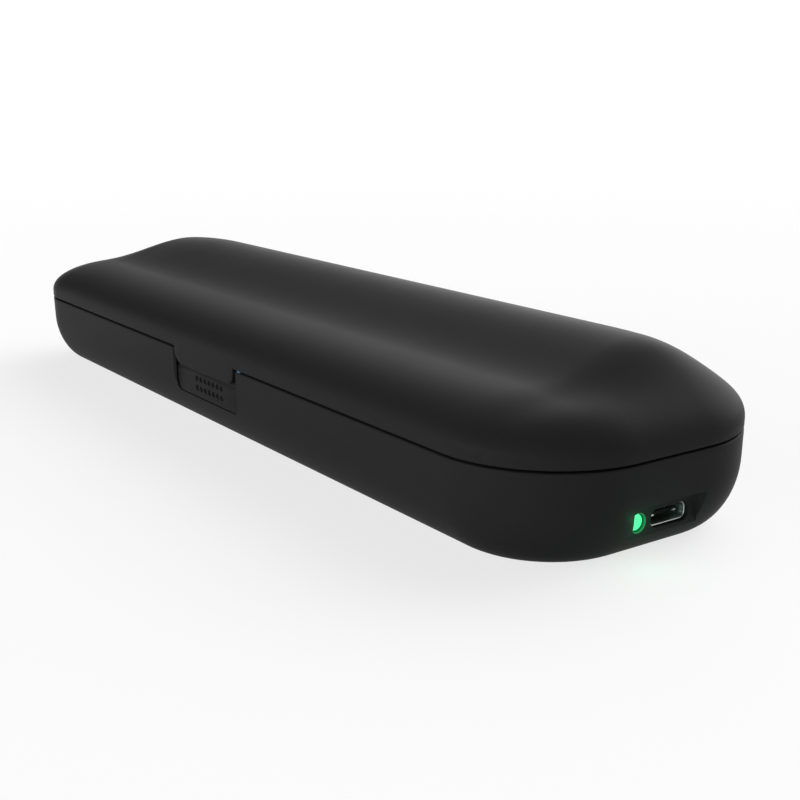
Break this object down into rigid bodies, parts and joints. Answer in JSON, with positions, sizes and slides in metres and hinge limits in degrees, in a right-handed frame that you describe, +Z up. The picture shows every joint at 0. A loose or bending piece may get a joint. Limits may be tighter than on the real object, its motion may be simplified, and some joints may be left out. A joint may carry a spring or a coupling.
{
  "type": "electric toothbrush travel case",
  "caption": "Hinged charging travel case for an electric toothbrush: long rounded box with a wave-shaped lid, a push latch and a socket with a lamp at one end.",
  "frame": {"origin": "middle of the flat underside of the base, on the surface that the case stands on", "axes": "+X along the case towards the end with the socket and lamp, -Y towards the latch side, +Y towards the hinges, +Z up"},
  "size_m": [0.225, 0.0663, 0.0341],
  "materials": {
    "case_black": "fine matte moulded texture",
    "button_black": "matte moulded, dimpled grip",
    "tray_grey": "satin moulded",
    "bracket_blue": "satin moulded",
    "steel": "plain steel",
    "screw_black": "black oxide",
    "port_metal": "bright drawn steel",
    "port_black": "matte",
    "lamp_lens": "clear, lit green",
    "led_white": "gloss",
    "board_green": "solder mask gloss",
    "copper": "enamelled copper wire",
    "ferrite": "matte sintered",
    "lead_red": "satin insulation",
    "lead_black": "satin insulation"
  },
  "bodies": {
    "base": {"base_shell": "case_black", "handle_tray": "tray_grey", "head_tray": "tray_grey", "hinge_pin_far": "steel", "hinge_pin_near": "steel", "latch_bracket": "bracket_blue", "button_spring_far": "steel", "button_spring_near": "steel", "bracket_screw_far": "steel", "bracket_screw_near": "steel", "tray_screw_1": "screw_black", "tray_screw_2": "screw_black", "tray_screw_3": "screw_black", "tray_screw_4": "screw_black", "usb_port_shell": "port_metal", "usb_port_tongue": "port_black", "light_guide": "lamp_lens", "status_led": "led_white", "circuit_board": "board_green", "controller_chip": "port_black", "board_screw_front": "steel", "board_screw_rear": "steel", "charging_post": "tray_grey", "ferrite_core": "ferrite", "charging_coil": "copper", "coil_lead_1": "lead_red", "coil_lead_2": "lead_black"},
    "lid": {"lid_shell": "case_black", "lid_catch": "case_black", "lid_liner": "tray_grey"},
    "button": {"release_button": "button_black"}
  },
  "joints": [
    {"name": "lid_hinge", "type": "hinge", "parent": "base", "child": "lid", "pos_m": [0, 0.03265, 0.0186], "axis": [-1, 0, 0], "range_deg": [0, 110]},
    {"name": "button_press", "type": "slide", "parent": "base", "child": "button", "axis": [0, 1, 0], "range_m": [0, 0.0012], "stiffness_N_per_m": 900, "deforming": ["button_spring_far", "button_spring_near"]}
  ]
}
